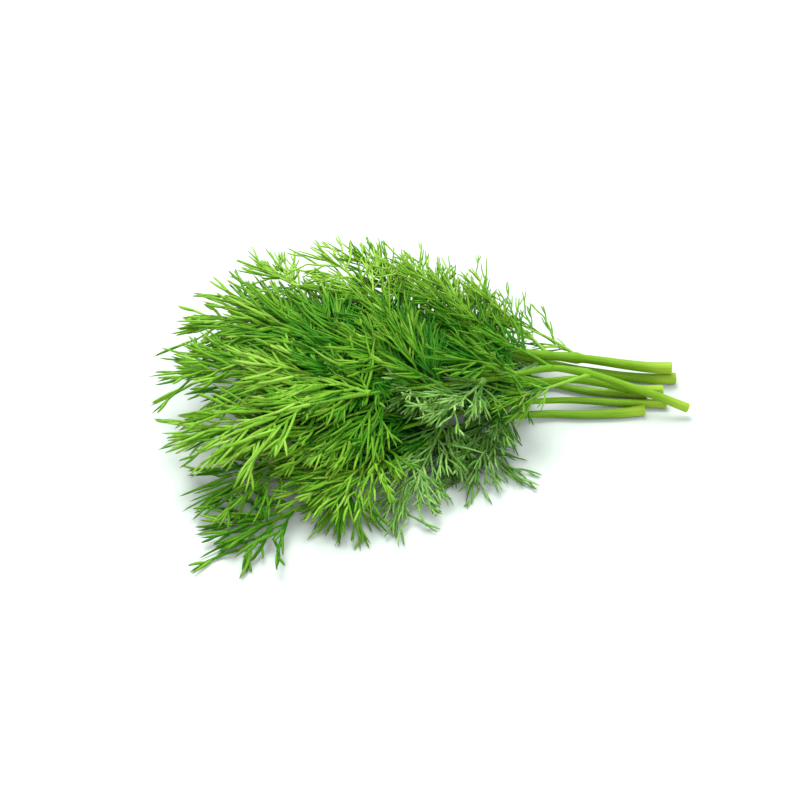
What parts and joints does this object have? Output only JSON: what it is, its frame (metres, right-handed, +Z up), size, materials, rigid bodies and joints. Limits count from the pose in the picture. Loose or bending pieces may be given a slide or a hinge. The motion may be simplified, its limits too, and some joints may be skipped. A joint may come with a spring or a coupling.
{
  "type": "dill bunch",
  "caption": "Cut bunch of fresh dill lying on its side, with crossing cut stems at one end and feathery thread-like fronds fanned out at the other.",
  "frame": {"origin": "on the surface that the bunch lies on, under the middle of its bounding box", "axes": "+X along the bunch towards the cut ends of the stems, +Y across it towards the side that lies further from a viewer who has the stems on the right, +Z up"},
  "size_m": [0.2054, 0.1567, 0.0366],
  "materials": {
    "stem": "satin",
    "frond": "matte"
  },
  "bodies": {
    "root": {"stem_1": "stem", "stem_2": "stem", "stem_3": "stem", "stem_4": "stem", "stem_5": "stem", "stem_6": "stem", "stem_7": "stem", "frond_1_1": "frond", "frond_1_2": "frond", "frond_1_3": "frond", "frond_1_4": "frond", "frond_1_5": "frond", "frond_1_6": "frond", "frond_1_7": "frond", "frond_2_1": "frond", "frond_2_2": "frond", "frond_2_3": "frond", "frond_2_4": "frond", "frond_2_5": "frond", "frond_2_6": "frond", "frond_2_7": "frond", "frond_3_1": "frond", "frond_3_2": "frond", "frond_3_3": "frond", "frond_3_4": "frond", "frond_3_5": "frond", "frond_3_6": "frond", "frond_3_7": "frond", "frond_4_1": "frond", "frond_4_2": "frond", "frond_4_3": "frond", "frond_4_4": "frond", "frond_4_5": "frond", "frond_4_6": "frond", "frond_4_7": "frond", "frond_5_1": "frond", "frond_5_2": "frond", "frond_5_3": "frond", "frond_5_4": "frond", "frond_5_5": "frond", "frond_5_6": "frond", "frond_5_7": "frond", "frond_6_1": "frond", "frond_6_2": "frond", "frond_6_3": "frond", "frond_6_4": "frond", "frond_6_5": "frond", "frond_6_6": "frond", "frond_6_7": "frond", "frond_6_8": "frond", "frond_7_1": "frond", "frond_7_2": "frond", "frond_7_3": "frond", "frond_7_4": "frond", "frond_7_5": "frond", "frond_7_6": "frond", "frond_7_7": "frond", "frond_7_8": "frond"}
  },
  "joints": []
}
